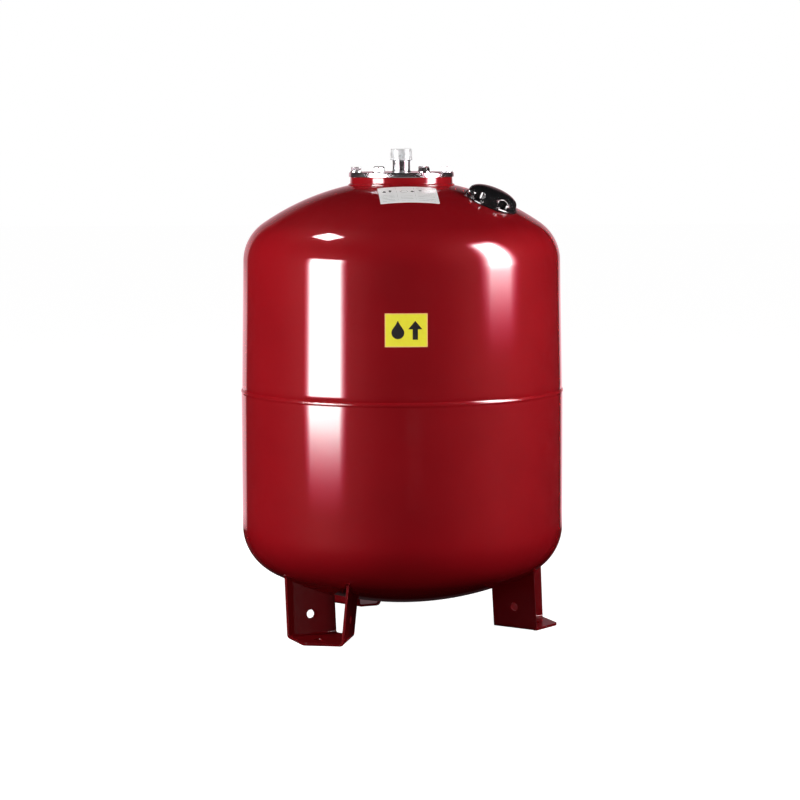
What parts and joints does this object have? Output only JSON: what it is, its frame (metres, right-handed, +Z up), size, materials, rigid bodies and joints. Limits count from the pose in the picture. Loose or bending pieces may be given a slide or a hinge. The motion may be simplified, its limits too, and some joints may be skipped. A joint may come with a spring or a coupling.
{
  "type": "expansion vessel",
  "caption": "Upright red steel expansion vessel on three welded feet, with a bolted top flange, a capped threaded connection and a guarded gas valve.",
  "frame": {"origin": "on the vessel's axis, in the plane of the floor that the feet stand on", "axes": "+Z up along the vessel's axis towards the flange, -Y towards the front where the rating label is, +X to the right of it"},
  "size_m": [0.452, 0.452, 0.667],
  "materials": {
    "red_enamel": "gloss",
    "bare_steel": "satin",
    "zinc_plate": "bright",
    "zinc_fasteners": "bright",
    "clear_plastic": "translucent",
    "bladder_rubber": "matt",
    "white_label": "satin",
    "yellow_label": "satin",
    "seal_rubber": "matt",
    "brass": "satin",
    "pin_steel": "bright",
    "black_plastic": "satin",
    "cap_plastic": "satin"
  },
  "bodies": {
    "root": {"upper_shell": "red_enamel", "lower_shell": "red_enamel", "girth_weld": "red_enamel", "neck_ring": "red_enamel", "neck_weld": "bare_steel", "counterflange": "zinc_plate", "flange_bolts": "zinc_fasteners", "flange_washers": "zinc_fasteners", "connection_nipple": "zinc_plate", "nipple_weld": "zinc_plate", "bladder": "bladder_rubber", "data_label": "white_label", "rating_label": "yellow_label", "foot_right": "red_enamel", "foot_rear": "red_enamel", "foot_front_left": "red_enamel", "foot_weld_right": "red_enamel", "foot_weld_rear": "red_enamel", "foot_weld_front_left": "red_enamel", "valve_boss": "bare_steel", "valve_boss_weld": "red_enamel", "stem_seal": "seal_rubber", "valve_stem": "brass", "valve_core_body": "brass", "valve_core_spring": "pin_steel", "guard_seat": "black_plastic"},
    "thread_cap": {"thread_cap": "clear_plastic"},
    "valve_guard": {"valve_guard": "black_plastic"},
    "dust_cap_lift": {"dust_cap_seal": "seal_rubber"},
    "dust_cap": {"dust_cap": "cap_plastic"},
    "valve_core_pin": {"valve_core_pin": "pin_steel", "valve_core_seal": "seal_rubber"}
  },
  "joints": [
    {"name": "thread_cap_pull", "type": "slide", "parent": "root", "child": "thread_cap", "axis": [0, 0, 1], "range_m": [0, 0.03]},
    {"name": "valve_guard_pull", "type": "slide", "parent": "root", "child": "valve_guard", "axis": [0.361, -0.1919, 0.9126], "range_m": [0, 0.05]},
    {"name": "dust_cap_rise", "type": "slide", "parent": "root", "child": "dust_cap_lift", "axis": [0.361, -0.1919, 0.9126], "range_m": [0, 0.00318]},
    {"name": "dust_cap_unscrew", "type": "hinge", "parent": "dust_cap_lift", "child": "dust_cap", "pos_m": [0.12273, -0.06526, 0.59515], "axis": [0.361, -0.1919, 0.9126], "range_deg": [0, 1440]},
    {"name": "core_pin_press", "type": "slide", "parent": "root", "child": "valve_core_pin", "axis": [-0.361, 0.1919, -0.9126], "range_m": [0, 0.0012], "stiffness_N_per_m": 800, "springref_m": -0.002, "deforming": ["valve_core_spring"]}
  ],
  "couplings": [
    {"joint": "dust_cap_unscrew", "follows": "dust_cap_rise", "rad_per_m": 7913.3}
  ]
}
